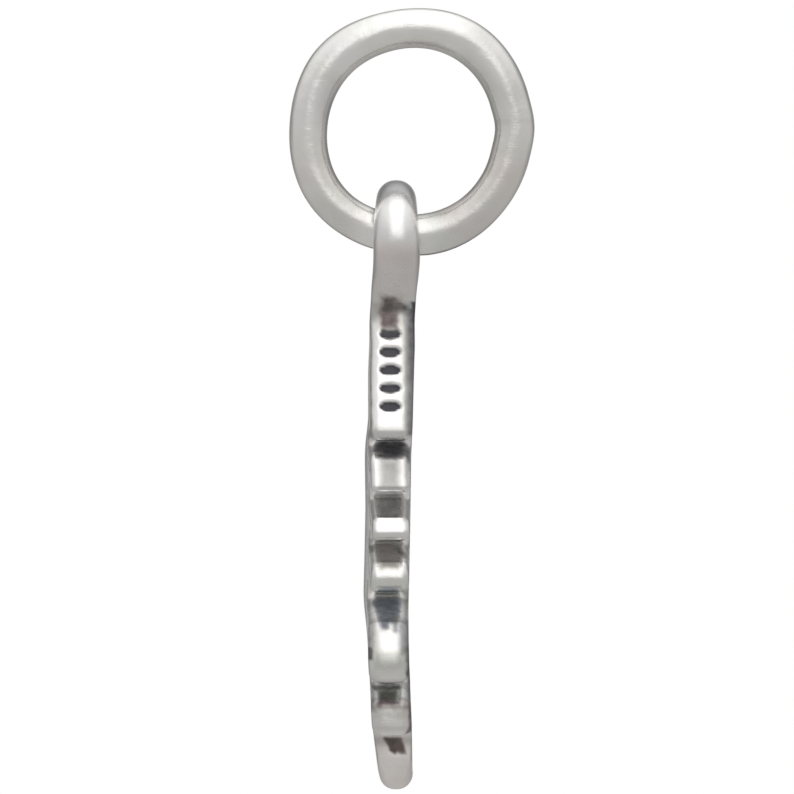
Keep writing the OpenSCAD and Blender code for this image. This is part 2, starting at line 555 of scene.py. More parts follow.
@dataclass(frozen=True)
class StainAndShade:
    """A soft-edged patch on the edge of the casting, drawn in its side view; some are patina in the hollows
    and tints, others painted shade over glints, highlights and corners turned from the light.
    """

    corners: tuple[tuple[float, float], ...]
    soot: float = 0.0
    film: float = 0.0
    tint: float = 0.4
    soft: float = 0.05

    @classmethod
    def panel(cls, front: float, back: float, top: float, bottom: float, **marks: float) -> "StainAndShade":
        """A patch that lies square in the side view.

        Args:
            front: Its front side.
            back: Its back side.
            top: Drop of its upper side.
            bottom: Drop of its lower side.
            marks: Its soot, film, tint and softness, where they aren't the usual ones.

        Returns:
            The patch.
        """
        return cls(((front, top), (back, top), (back, bottom), (front, bottom)), **marks)

    def cover(self, x: np.ndarray, drop: np.ndarray) -> np.ndarray:
        """How fully the patch covers each point.

        Args:
            x: How far back each point lies.
            drop: How far each point lies below the loop's middle.

        Returns:
            1 well inside the corners and 0 outside, with a soft edge between.
        """
        inside = np.zeros(np.broadcast(x, drop).shape, dtype=bool)
        away = np.full(inside.shape, np.inf)
        for (from_x, from_drop), (to_x, to_drop) in zip(self.corners, self.corners[1:] + self.corners[:1]):
            run_x, run_drop = to_x - from_x, to_drop - from_drop
            off_x, off_drop = x - from_x, drop - from_drop
            share = np.clip((off_x * run_x + off_drop * run_drop) / (run_x**2 + run_drop**2), 0.0, 1.0)
            away = np.minimum(away, np.hypot(off_x - share * run_x, off_drop - share * run_drop))
            if run_drop != 0.0:
                crosses = (drop < from_drop) != (drop < to_drop)
                inside ^= crosses & (x < from_x + off_drop * run_x / run_drop)
        return 1.0 - smooth(0.5 + np.where(inside, -0.5, 0.5) * away / self.soft)


@dataclass(frozen=True)
class Bend:
    """An unevenness of a hand-bent ring, which comes back a few times in a turn."""

    times: int
    size: float
    peak: float

    def shift(self, degrees: np.ndarray) -> np.ndarray:
        """How far out it moves the ring's edge, by the clock angle in degrees."""
        return self.size * np.cos(np.radians(self.times * (degrees - self.peak)))


@dataclass(frozen=True)
class Smudge:
    """A stretch of the ring that fingers have dulled, with its own cast."""

    at: float
    half: float
    film: float
    tint: float
    inside: bool = False
    lining: Span = (0.15, 0.75)

    def cover(self, degrees: np.ndarray, around: np.ndarray) -> np.ndarray:
        """How much it covers the wire.

        Args:
            degrees: Places round the ring, clockwise from its top.
            around: Places round the wire, in radians from its outermost line.

        Returns:
            0 where it isn't, up to 1 at its middle.
        """
        apart = (degrees - self.at + 180.0) % 360.0 - 180.0
        side = between(-np.cos(around), *self.lining) if self.inside else np.ones_like(around)
        return hump(apart, 0.0, self.half) * side


@dataclass
class JumpRing:
    """The closed ring of round wire that the chain passes through.

    Places round it are clock angles in degrees, clockwise from its top as the camera sees it.
    """

    finish: Silver
    outer_d: float = 6.0
    wire_d: float = 0.95
    outer_r: float = 3.014
    inner_r: float = 2.040
    outer_bends: tuple[Bend, ...] = (
        Bend(1, 0.015, 118.0),
        Bend(2, 0.032, 23.0),
        Bend(3, 0.019, 48.0),
        Bend(4, 0.025, 46.0),
        Bend(5, 0.021, 24.0),
    )
    inner_bends: tuple[Bend, ...] = (
        Bend(1, 0.025, 183.0),
        Bend(2, 0.030, 44.0),
        Bend(3, 0.011, 9.0),
        Bend(4, 0.017, 46.0),
        Bend(5, 0.007, 13.0),
    )
    # the wire's fine unevenness
    wander_seed: int = 7
    wander_count: int = 9
    wander_lengths: Span = (9.0, 60.0)
    wander_twist: float = 57.3
    wander_size: float = 0.004
    # the soldered joint and the seat that the charm has worn
    solder_at: float = 88.0
    solder_half: float = 15.0
    solder_rise: float = 0.038
    seam_at: float = 85.0
    seam_half: float = 3.0
    seam_film: float = 0.10
    seat_at: float = 187.0
    seat_half: float = 16.0
    seat_wear: float = 0.036
    seat_wear_inside: float = 0.3
    # tarnish inside the ring, and painted shade low down inside it where the charm's loop hangs
    lining: Span = (0.72, 0.94)
    lining_film: float = 0.35
    lining_soot: float = 0.20
    seat_shade_span: Span = (-26.0, -4.0)
    seat_shade_at: float = 186.0
    # painted reflection: a dark line along the ring's inner edge
    line: Span = (0.95, 0.995)
    line_soot: float = 0.50
    # painted shade: a dark film and soot along the ring's outer edge, below
    rim: Span = (0.90, 0.985)
    rim_shade_at: float = 180.0
    rim_shade_half: float = 80.0
    rim_film: float = 0.8
    rim_soot: float = 0.62
    cast: float = 0.35
    smudges: tuple[Smudge, ...] = (
        Smudge(8.0, 42.0, 0.06, 0.60, True),
        Smudge(52.0, 30.0, 0.22, 0.20, True),
        Smudge(72.0, 26.0, 0.16, 0.30),
        Smudge(114.0, 34.0, 0.20, 0.60),
        Smudge(150.0, 32.0, 0.36, 0.60),
        Smudge(168.0, 26.0, 0.30, 0.10, True),
        Smudge(222.0, 22.0, 0.18, 0.20),
        Smudge(246.0, 28.0, 0.16, 0.60),
        Smudge(286.0, 16.0, 0.00, -0.25),
        Smudge(290.0, 34.0, 0.20, 0.00, True),
        Smudge(303.0, 10.0, 0.05, 0.50),
        Smudge(338.0, 18.0, 0.08, 0.20),
    )
    steps_round: int = 360
    steps_wire: int = 96

    @property
    def middle_z(self) -> float:
        """Height of the ring's middle, from the chain's bearing point at the origin."""
        return -(self.outer_d / 2 - self.wire_d)

    def shape(self, clock: np.ndarray, around: np.ndarray) -> np.ndarray:
        """The wire, bent by hand into an uneven round and closed with solder.

        Args:
            clock: Places round the ring, in radians.
            around: Places round the wire, in radians from its outermost line.

        Returns:
            The points, one row a place round the ring.
        """
        degrees = np.degrees(clock)
        solder = self.solder_rise * hump(degrees, self.solder_at, self.solder_half)
        worn = self.seat_wear * hump(degrees, self.seat_at, self.seat_half)
        outer = self.outer_r + sum(bend.shift(degrees) for bend in self.outer_bends) + solder - worn
        inside = self.inner_r + sum(bend.shift(degrees) for bend in self.inner_bends) + solder
        inside = inside + self.seat_wear_inside * worn
        curve = waves(self.wander_seed, self.wander_count, *self.wander_lengths)
        wander = curve(degrees + self.wander_twist * around) * self.wander_size
        reach = (outer + inside) / 2 + ((outer - inside) / 2 + wander) * np.cos(around)
        y = -(self.wire_d / 2 + wander) * np.sin(around)
        return np.stack([reach * np.sin(clock), y, self.middle_z + reach * np.cos(clock)], axis=-1)

    def marks(self, degrees: np.ndarray, around: np.ndarray) -> dict[Patch, np.ndarray]:
        """What the finish needs on the wire.

        Args:
            degrees: Places round the ring.
            around: Places round the wire, in radians from its outermost line.

        Returns:
            The soot, the film and the tint at each point.
        """
        out = np.cos(around) + 0 * degrees
        lining = between(-out, *self.lining)
        # painted shade low inside the ring, where the charm's loop hangs against it
        low = between(-np.abs(degrees - self.seat_shade_at), *self.seat_shade_span)
        seam = hump(degrees, self.seam_at, self.seam_half)
        # painted shade along the ring's outer edge at the bottom
        rim = between(out, *self.rim) * hump(degrees, self.rim_shade_at, self.rim_shade_half)
        film = self.lining_film * lining + self.seam_film * seam + self.rim_film * rim
        tint = self.cast + 0 * out
        for smudge in self.smudges:
            cover = smudge.cover(degrees, around)
            film = film + smudge.film * cover
            tint = tint + smudge.tint * cover
        # painted shade in the soot: along the outer edge at the bottom, and low inside where the charm's
        # loop hangs
        soot = self.lining_soot * lining * low + self.rim_soot * rim
        # painted reflection: the dark line along the inner edge
        soot = soot + self.line_soot * between(-out, *self.line)
        return {Patch.SOOT_AND_SHADE: soot, Patch.FILM_AND_SHADE: film, Patch.TINT: tint}

    def build(self) -> bpy.types.Object:
        """Makes the ring and fits it to the frame.

        Returns:
            The ring.
        """
        clock = np.linspace(0.0, math.tau, self.steps_round, endpoint=False)[:, None]
        around = np.linspace(0.0, math.tau, self.steps_wire, endpoint=False)[None, :]
        marks = self.marks(np.degrees(clock), around)
        skin = Skin(
            self.shape(clock, around).reshape(-1, 3),
            grid_faces(self.steps_round, self.steps_wire, True),
            {key: value.ravel() for key, value in marks.items()},
        )
        obj = skin.build("jump_ring_wire", self.finish.material())
        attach(obj, "ring")
        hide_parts("jump_ring")
        return obj


@dataclass
class Walk:
    """Points along the casting's outline, with what holds at each."""

    point: np.ndarray
    normal: np.ndarray
    reach: np.ndarray

    def part(self, rows: slice) -> "Walk":
        """Some of the points."""
        return Walk(self.point[rows], self.normal[rows], self.reach[rows])

    @property
    def inner(self) -> np.ndarray:
        """Where the rounded edge meets the flat faces."""
        return self.point - self.reach[:, None] * self.normal


@dataclass
class Outline:
    """The casting's outline, walked down one side as a belt round circles.

    Angles are in degrees, counted from straight out and turned upwards.
    """

    loop: BeltCircle = BeltCircle(0.0, 0.0, 1.46, Turn.CORNER, 0.49)
    neck: BeltCircle = BeltCircle(0.96, 1.78, 0.32, Turn.BAY, 0.27)
    top: float = 90.0
    arc_step: float = 5.4
    arc_steps_least: int = 4
    line_step: float = 0.064
    circles: list[BeltCircle] = field(
        default_factory=lambda: [
            # shoulder
            BeltCircle(1.60, 4.64, 0.24, Turn.CORNER, 0.20),
            BeltCircle(1.10, 4.87, 0.14, Turn.BAY, 0.19),
            # first lobe
            BeltCircle(1.36, 5.61, 0.45, Turn.CORNER, 0.19),
            BeltCircle(1.87, 5.98, 0.13, Turn.CORNER, 0.12),
            BeltCircle(1.14, 6.12, 0.17, Turn.BAY, 0.17),
            # second lobe
            BeltCircle(1.98, 6.90, 0.22, Turn.CORNER, 0.19),
            BeltCircle(2.12, 7.08, 0.20, Turn.CORNER, 0.18),
            BeltCircle(1.42, 7.25, 0.14, Turn.BAY, 0.19),
            # third lobe
            BeltCircle(2.20, 8.04, 0.30, Turn.CORNER, 0.19),
            BeltCircle(2.30, 8.17, 0.34, Turn.CORNER, 0.19),
            BeltCircle(1.47, 8.50, 0.18, Turn.BAY, 0.20),
            # fourth and widest lobe
            BeltCircle(2.60, 9.40, 0.22, Turn.CORNER, 0.20),
            BeltCircle(2.52, 10.20, 0.88, Turn.CORNER, 0.26),
            BeltCircle(2.98, 10.28, 0.42, Turn.CORNER, 0.26),
            BeltCircle(1.51, 10.46, 0.20, Turn.BAY, 0.22),
            # fifth lobe
            BeltCircle(2.34, 11.29, 0.24, Turn.CORNER, 0.20),
            BeltCircle(2.36, 11.72, 0.24, Turn.CORNER, 0.20),
            BeltCircle(1.30, 11.87, 0.18, Turn.BAY, 0.20),
            # end lobe
            BeltCircle(0.66, 12.52, 0.48, Turn.CORNER, 0.36),
            BeltCircle(0.00, 12.66, 0.70, Turn.CORNER, 0.40),
        ]
    )

    def walk(self) -> tuple[Walk, int]:
        """Walks the outline from the loop's top to the leaf's tip.

        Returns:
            The points, and the number of the first one below the run from the loop to the neck.
        """
        belt = [self.loop, self.neck, *self.circles]
        rows: list[tuple[np.ndarray, np.ndarray, float]] = []
        start = self.top
        neck_row = 0
        for here, below in zip(belt, [*belt[1:], None]):
            if here is self.neck:
                neck_row = len(rows)
            after = -self.top if below is None else self._line_normal(here, below)
            end = self._wound(start, after, here.turn)
            steps = max(self.arc_steps_least, int(abs(end - start) / self.arc_step))
            for i in range(steps):
                side = self._direction(start + (end - start) * i / steps)
                rows.append((here.centre + here.signed * side, side, here.reach))
            side = self._direction(after)
            leave = here.centre + here.signed * side
            if below is None:
                rows.append((leave, side, here.reach))
                break
            run = below.centre + below.signed * side - leave
            steps = max(1, int(np.hypot(*run) / self.line_step))
            for i in range(steps):
                share = i / steps
                reach = here.reach + (below.reach - here.reach) * float(smooth(share))
                rows.append((leave + run * share, side, reach))
            start = after
        points, sides, reaches = (np.array(column) for column in zip(*rows))
        return Walk(points, sides, reaches), neck_row

    @staticmethod
    def _line_normal(upper: BeltCircle, lower: BeltCircle) -> float:
        """The outward direction of the straight run between two circles.

        Args:
            upper: The circle that it leaves.
            lower: The next one down, where it arrives.

        Returns:
            The angle of the run's normal.
        """
        run = lower.centre - upper.centre
        length = float(np.hypot(*run))
        return math.degrees(math.atan2(run[1], run[0]) + math.acos((upper.signed - lower.signed) / length))

    @staticmethod
    def _wound(start: float, end: float, turn: Turn) -> float:
        """The end angle, reached from the start by turning the circle's own way.

        Args:
            start: Where the outline meets the circle.
            end: Where it leaves, give or take whole turns.
            turn: Which way it goes round.

        Returns:
            The end angle with its whole turns put right.
        """
        if turn is Turn.CORNER:
            return start - (start - end) % 360.0
        return start + (end - start) % 360.0

    @staticmethod
    def _direction(degrees: float) -> np.ndarray:
        """A unit vector at an angle."""
        return np.array([math.cos(math.radians(degrees)), math.sin(math.radians(degrees))])


@dataclass
class SideView:
    """The casting seen from its side."""

    rows: np.ndarray = field(
        default_factory=lambda: np.array(
            [
                # drop, front, back, rise of the front, flat share of the edge
                [-1.46, -0.790, 0.070, 0.0, 0.00],
                [-1.20, -0.800, 0.100, 0.0, 0.02],
                [-1.00, -0.822, 0.140, 0.0, 0.05],
                [-0.85, -0.845, 0.160, 0.0, 0.08],
                [-0.60, -0.872, 0.180, 0.0, 0.12],
                [0.00, -0.897, 0.228, 0.0, 0.15],
                [0.50, -0.898, 0.236, 0.0, 0.16],
                [0.82, -0.917, 0.209, 0.0, 0.18],
                [1.21, -0.950, 0.158, 0.0, 0.20],
                [1.40, -0.955, 0.140, 0.0, 0.24],
                [1.95, -0.995, 0.105, 0.0, 0.35],
                [2.60, -1.004, 0.110, 0.4, 0.54],
                [3.20, -1.030, 0.090, 0.4, 0.54],
                [4.35, -1.026, 0.060, 0.4, 0.52],
                [4.90, -1.093, 0.040, 0.6, 0.58],
                [5.25, -1.110, 0.020, 0.8, 0.72],
                [6.50, -1.094, 0.005, 1.0, 0.70],
                [7.80, -1.120, -0.020, 1.0, 0.68],
                [8.60, -1.142, -0.040, 0.8, 0.60],
                [8.95, -1.120, -0.044, 0.6, 0.50],
                [9.50, -1.060, -0.044, 0.2, 0.20],
                [10.20, -1.016, -0.030, 0.0, 0.20],
                [10.60, -0.988, -0.010, 0.0, 0.28],
                [11.20, -0.955, 0.010, 0.0, 0.40],
                [11.60, -0.940, 0.030, 0.0, 0.35],
                [12.15, -0.876, 0.042, 0.0, 0.30],
                [12.90, -0.782, 0.054, 0.0, 0.10],
                [13.40, -0.610, 0.120, 0.0, 0.08],
            ]
        )
    )
    blur: tuple[float, ...] = (-0.12, -0.06, 0.0, 0.06, 0.12)

    def _column(self, drop: np.ndarray, column: Column) -> np.ndarray:
        """A column of the table at any drop, rounded off between its rows.

        Args:
            drop: How far each point lies below the loop's middle.
            column: Which column is read.

        Returns:
            The column's value at each point.
        """
        drops, values = self.rows[:, 0], self.rows[:, column.value]
        return sum(np.interp(drop + shift, drops, values) for shift in self.blur) / len(self.blur)

    def front(self, drop: np.ndarray) -> np.ndarray:
        """The front line."""
        return self._column(drop, Column.FRONT)

    def back(self, drop: np.ndarray) -> np.ndarray:
        """The back line."""
        return self._column(drop, Column.BACK)

    def rise(self, drop: np.ndarray) -> np.ndarray:
        """How much of the crown and midrib there is, from 0 to 1."""
        return self._column(drop, Column.RISE)

    def flat(self, drop: np.ndarray) -> np.ndarray:
        """Share of the edge's width that lies flat between its rounded corners."""
        return self._column(drop, Column.FLAT)


@dataclass
class LeafCharm:
    """The casting: a loop, a neck and a lobed plate with a raised midrib and sunk veins."""

    finish: Silver
    outline: Outline = field(default_factory=Outline)
    side: SideView = field(default_factory=SideView)
    loop_z: float = -4.71274
    hole_r: float = 0.68
    hole_reach: float = 0.28
    slant: float = 20.0
    crown: float = 0.13
    fall_out: float = 0.95
    fall_gain: float = 0.21
    back_flat: float = 0.8
    # points across a section
    face_cols: int = 22
    rib_cols: int = 8
    rib_cols_out: float = 0.42
    rib_cols_most: float = 0.5
    corner_cols: int = 8
    flat_cols: int = 11
    web_cols: int = 5
    hole_cols: int = 16
    # raised midrib, with a groove along each side
    rib_height: float = 0.07
    rib_half: float = 0.3
    rib_start: float = 1.15
    rib_run: float = 18.0
    groove_half: float = 0.1
    groove_depth: float = 0.8
    groove_from: Span = (2.4, 3.2)
    groove_to: Span = (11.8, 12.8)
    # sunk veins, each by how far out and how far down it ends
    vein_ends: tuple[tuple[float, float], ...] = (
        (1.45, 4.46),
        (1.84, 5.74),
        (2.12, 7.02),
        (2.38, 8.26),
        (3.20, 10.20),
        (2.40, 11.60),
    )
    vein_half: float = 0.09
    vein_depth: float = 0.055
    vein_extra_slant: float = 4.0
    vein_bow: float = 1.15
    vein_taper: float = 0.55
    vein_from: Span = (0.1, 0.25)
    vein_to: Span = (0.75, 0.95)
    # row of plain oval pits punched in the shoulder's edge
    pits: int = 5
    pit_first: float = 2.27
    pit_pitch: float = 0.44
    pit_half_x: float = 0.29
    pit_half_z: float = 0.135
    pit_x: float = -0.49
    pit_depth: float = 0.07
    pit_edge: Span = (0.72, 1.08)
    pit_out: float = 0.6
    pit_tint: float = 0.2
    # soot and film on the faces
    vein_soot: float = 0.95
    face_film: float = 0.35
    face_film_from: Span = (2.0, 3.0)
    back_film: float = 0.5
    rib_clean: float = 0.7
    face_tint: float = 0.35
    seep_reach: float = 0.35
    # painted shade: film on the edge's corners and in its bays that darkens their highlights and glints
    rim_film: float = 0.25
    rim_full: float = 0.6
    rim_from: Span = (4.3, 4.7)
    rim_to: Span = (12.0, 12.6)
    bay_film: float = 0.60
    bay_half: float = 0.26
    bay_below: float = 1.4
    # soot and film on the loop: painted shade on its top, film that darkens its outside towards the neck,
    # and patina in its hole
    cap_film: float = 0.73
    cap: Span = (0.70, 1.30)
    neck_film: float = 0.34
    neck: Span = (-0.1, 0.5)
    hole_soot: float = 0.30
    hole_film: float = 0.60
    hole_halo: float = 0.3
    hole_low: Span = (-0.6, 1.2)
    # patina, tints and painted shade on the edge, and how ragged their outlines are
    ragged: float = 0.025
    ragged_seeds: tuple[int, int] = (3, 5)
    ragged_count: int = 6
    ragged_lengths: Span = (0.15, 0.7)
    ragged_skew: Span = (0.4, -0.3)
    tint_gain: float = 3.0
    stains_and_shade: tuple[StainAndShade, ...] = (
        # rosy cast of the neck
        StainAndShade(((-0.88, 0.15), (0.20, 0.15), (0.12, 1.40), (-0.88, 1.40)), film=0.05, tint=1.0,
               soft=0.16),
        # rosy cast of the fifth lobe and the end
        StainAndShade(((-0.86, 11.20), (-0.10, 11.20), (-0.06, 12.02), (-0.80, 12.06)), film=0.05, tint=1.0,
               soft=0.12),
        StainAndShade(((-0.80, 12.14), (0.04, 12.14), (0.08, 13.45), (-0.78, 13.45)), film=0.05, tint=1.0,
               soft=0.14),
        # film over the neck and the shoulder's top, and patina in the notch where the loop meets the
        # shoulder
        StainAndShade(((-1.00, 1.48), (0.10, 1.48), (0.10, 2.14), (-0.74, 2.14), (-0.78, 2.00), (-1.00, 2.00)),
               film=0.60, soft=0.12),
        StainAndShade(((-0.80, 1.26), (-0.10, 1.32), (0.00, 1.78), (-0.78, 1.78)), soot=0.38, tint=0.9,
               soft=0.14),
        StainAndShade.panel(-0.70, -0.32, 1.74, 2.14, soot=0.72, tint=0.9, soft=0.10),
        StainAndShade(((-0.70, 1.42), (-0.58, 1.32), (-0.40, 1.38), (-0.05, 1.60), (-0.05, 1.74), (-0.28, 1.78),
               (-0.28, 2.16), (-0.72, 2.16), (-0.78, 1.75)), soot=0.80, tint=0.90, soft=0.10),
        StainAndShade(((-0.66, 1.56), (-0.10, 1.58), (-0.10, 1.70), (-0.30, 1.74), (-0.66, 1.74)), soot=1.0,
               tint=0.65, soft=0.08),
        # painted shade: dark strips down the shoulder's back corner and its front corner
        StainAndShade(((-0.20, 1.62), (0.14, 1.62), (0.12, 4.60), (-0.16, 4.60)), soot=0.16, film=0.85, tint=0.8,
               soft=0.10),
        StainAndShade(((-0.10, 1.62), (0.14, 1.62), (0.13, 3.10), (-0.06, 3.40)), soot=0.55, film=0.9, tint=0.3,
               soft=0.10),
        StainAndShade(((0.02, 1.50), (0.16, 1.50), (0.16, 2.60), (0.10, 3.90)), soot=0.85, film=0.9, tint=0.2,
               soft=0.06),
        StainAndShade(((-0.06, 2.30), (0.16, 2.30), (0.14, 4.75), (-0.09, 4.75)), soot=0.44, film=0.9, tint=0.3,
               soft=0.07),
        StainAndShade(((-1.04, 3.45), (-0.93, 3.50), (-0.90, 4.80), (-1.02, 4.80)), soot=0.45, tint=0.3,
               soft=0.06),
        StainAndShade(((-1.10, 1.50), (-0.95, 1.50), (-0.95, 4.20), (-0.86, 4.85), (-1.10, 4.85)), soot=0.20,
               film=0.6),
        # first hollow and the lobe below it
        StainAndShade(((-0.96, 5.13), (-0.91, 5.03), (-0.81, 4.91), (-0.71, 4.87), (-0.15, 4.87), (-0.06, 4.93),
               (0.01, 5.06), (0.02, 5.40), (-0.08, 5.42), (-0.15, 5.26), (-0.28, 5.25), (-0.64, 5.22),
               (-0.69, 5.16), (-0.93, 5.17)), soot=0.78, tint=0.32, soft=0.09),
        StainAndShade(((-0.72, 5.12), (-0.28, 5.12), (-0.28, 5.38), (-0.70, 5.38)), soot=0.46, film=0.9,
               tint=0.2, soft=0.14),
        StainAndShade(((-0.74, 5.30), (-0.27, 5.30), (-0.27, 5.72), (-0.72, 5.72)), soot=0.20, film=0.85,
               tint=0.2, soft=0.16),
        StainAndShade(((-0.76, 5.30), (-0.25, 5.30), (-0.25, 6.04), (-0.74, 6.04)), soot=0.10, film=0.80,
               soft=0.14),
        StainAndShade(((-0.14, 5.36), (0.00, 5.36), (0.00, 6.00), (-0.12, 6.00)), film=0.70, soft=0.10),
        # second hollow
        StainAndShade(((-0.84, 6.25), (-0.79, 6.17), (-0.62, 6.16), (-0.59, 6.08), (-0.47, 6.08), (-0.44, 6.19),
               (-0.23, 6.20), (-0.18, 6.32), (-0.19, 6.74), (-0.77, 6.75), (-0.84, 6.56)), soot=0.08,
               tint=0.30, soft=0.10),
        StainAndShade(((-0.47, 6.22), (-0.25, 6.22), (-0.25, 6.69), (-0.54, 6.69), (-0.54, 6.45), (-0.46, 6.40)),
               soot=0.38, tint=0.30, soft=0.10),
        StainAndShade(((-0.96, 6.16), (-0.82, 6.16), (-0.80, 6.80), (-0.92, 6.80)), film=0.80, soft=0.08),
        StainAndShade.panel(-0.18, -0.04, 6.16, 6.80, film=0.80, soft=0.08),
        # third hollow
        # painted shade: film over the glints at the hollow's upper corners
        StainAndShade.panel(-1.02, -0.86, 7.22, 7.42, soot=0.20, film=0.9, soft=0.10),
        StainAndShade(((-0.26, 7.28), (0.00, 7.28), (0.00, 7.56), (-0.18, 7.56)), soot=0.10, film=0.7,
               soft=0.10),
        StainAndShade(((-0.98, 7.54), (-0.96, 7.44), (-0.86, 7.34), (-0.64, 7.31), (-0.42, 7.31), (-0.28, 7.39),
               (-0.15, 7.54), (-0.06, 7.63), (-0.06, 7.73), (-0.15, 7.72), (-0.25, 7.68), (-0.30, 7.78),
               (-0.69, 7.80), (-0.79, 7.83), (-0.88, 7.87), (-0.93, 7.73)), soot=0.48, tint=0.8,
               soft=0.10),
        StainAndShade(((-1.02, 7.40), (-0.88, 7.38), (-0.86, 7.56), (-1.00, 7.58)), soot=0.85, tint=0.5,
               soft=0.07),
        StainAndShade(((-0.38, 7.42), (-0.26, 7.44), (-0.04, 7.62), (-0.04, 7.74), (-0.20, 7.70), (-0.34, 7.60)),
               soot=0.80, tint=0.7, soft=0.08),
        StainAndShade(((-0.72, 7.74), (-0.30, 7.72), (-0.30, 7.93), (-0.72, 7.95)), soot=0.36, film=0.85,
               tint=0.8, soft=0.13),
        # fourth hollow and the widest lobe below it, with painted shade over their glint, highlight and
        # corners
        # painted shade: film over the glint at the hollow's upper right corner
        StainAndShade.panel(-0.22, 0.00, 8.44, 8.84, soot=0.22, film=0.9, tint=0.6, soft=0.12),
        StainAndShade(((-0.80, 8.44), (-0.22, 8.44), (-0.20, 8.66), (-0.84, 8.66)), soot=0.30, film=0.4,
               tint=0.6, soft=0.08),
        StainAndShade(((-0.92, 8.85), (-0.91, 8.72), (-0.81, 8.66), (-0.64, 8.64), (-0.44, 8.64), (-0.25, 8.66),
               (-0.20, 8.75), (-0.21, 9.02), (-0.28, 9.17), (-0.40, 9.18), (-0.47, 9.26), (-0.54, 9.35),
               (-0.64, 9.38), (-0.74, 9.29), (-0.81, 9.14), (-0.88, 9.00)), soot=0.68, tint=0.0,
               soft=0.10),
        StainAndShade(((-0.92, 8.72), (-0.84, 8.68), (-0.80, 8.95), (-0.86, 8.97)), soot=0.88, tint=0.15,
               soft=0.06),
        StainAndShade(((-0.74, 9.18), (-0.50, 9.18), (-0.52, 9.38), (-0.70, 9.40)), soot=0.62, film=0.9,
               tint=0.1, soft=0.09),
        StainAndShade(((-0.60, 9.12), (-0.48, 9.12), (-0.50, 9.26), (-0.60, 9.26)), soot=0.88, tint=0.1,
               soft=0.08),
        StainAndShade(((-0.50, 9.12), (-0.27, 9.12), (-0.27, 9.44), (-0.40, 9.46)), soot=0.40, film=0.95,
               tint=0.1, soft=0.10),
        # painted shade: film and soot that darken the widest lobe's corners beside its highlight
        StainAndShade(((-1.00, 9.15), (-0.82, 9.15), (-0.86, 9.92), (-1.00, 9.92)), soot=0.10, film=0.85,
               soft=0.12),
        StainAndShade(((-0.30, 9.15), (0.00, 9.15), (0.00, 10.00), (-0.25, 10.00)), soot=0.30, film=0.90,
               tint=0.2, soft=0.10),
        StainAndShade(((-1.10, 9.80), (-0.94, 9.80), (-0.88, 9.94), (-0.92, 10.12), (-1.10, 10.12)), soot=1.0,
               tint=0.3, soft=0.06),
        # painted shade: dark strips down the back corner beside and below the widest lobe
        StainAndShade(((-0.15, 9.80), (0.10, 9.70), (0.10, 10.40), (-0.12, 10.42)), soot=0.85, tint=0.4,
               soft=0.10),
        StainAndShade(((-0.11, 10.30), (0.12, 10.30), (0.16, 11.70), (0.02, 11.95), (-0.14, 11.95),
               (-0.05, 11.70), (-0.07, 11.00)), soot=0.85, tint=0.5, soft=0.06),
        # painted shade: film that cuts short the widest lobe's highlight
        StainAndShade.panel(-0.90, -0.10, 9.90, 10.36, film=0.42, tint=0.65, soft=0.12),
        StainAndShade.panel(-0.90, -0.10, 10.30, 10.50, film=0.18, tint=0.65, soft=0.12),
        # fifth hollow
        StainAndShade(((-0.93, 10.75), (-0.80, 10.77), (-0.50, 10.79), (-0.25, 10.76), (-0.22, 10.84),
               (-0.24, 10.88), (-0.85, 10.90), (-0.92, 10.86)), soot=0.95, tint=0.25, soft=0.07),
        StainAndShade(((-0.81, 10.86), (-0.28, 10.86), (-0.32, 11.18), (-0.44, 11.24), (-0.62, 11.21),
               (-0.74, 11.29), (-0.81, 11.24)), soot=0.88, tint=0.62, soft=0.10),
        # painted shade: film over the highlights at the fifth lobe's upper corners
        StainAndShade.panel(-1.00, -0.80, 11.05, 11.40, soot=0.15, film=0.95, soft=0.10),
        StainAndShade.panel(-0.86, -0.20, 11.16, 11.32, soot=0.15, film=0.95, soft=0.08),
        StainAndShade.panel(-0.24, 0.06, 11.05, 11.36, film=0.85, soft=0.10),
        # painted shade: film that greys the fifth lobe under the widest one, with a rosy cast
        StainAndShade.panel(-0.95, 0.10, 11.14, 11.60, film=0.42, tint=0.9, soft=0.08),
        StainAndShade.panel(-0.95, 0.10, 11.50, 11.86, film=0.34, tint=0.85, soft=0.12),
        # sixth hollow
        StainAndShade(((-0.67, 12.05), (-0.19, 12.05), (-0.17, 12.18), (-0.10, 12.36), (-0.10, 12.47),
               (-0.23, 12.46), (-0.28, 12.39), (-0.35, 12.46), (-0.50, 12.42), (-0.54, 12.29),
               (-0.60, 12.18)), soot=1.0, tint=1.0, soft=0.08),
        # painted shade on the lower, downward-turned parts of the shoulder and two lobes, and the rosy cast
        # of the tip
        StainAndShade.panel(-1.00, 0.10, 4.50, 4.84, film=0.28),
        StainAndShade.panel(-1.00, 0.00, 7.08, 7.30, film=0.20),
        StainAndShade.panel(-1.00, 0.00, 8.16, 8.56, film=0.16, tint=0.7),
        StainAndShade.panel(-1.00, 0.10, 12.50, 13.60, film=0.06, tint=1.0, soft=0.12),
    )

    def rib_width(self, drop: np.ndarray) -> np.ndarray:
        """How far the midrib reaches to each side."""
        return self.rib_half * (self.rib_start - drop / self.rib_run)

    def rib(self, y: np.ndarray, drop: np.ndarray) -> np.ndarray:
        """Share of the midrib's height at a point, from 1 on its top to 0 beside it."""
        return hump(y, 0.0, self.rib_width(drop))

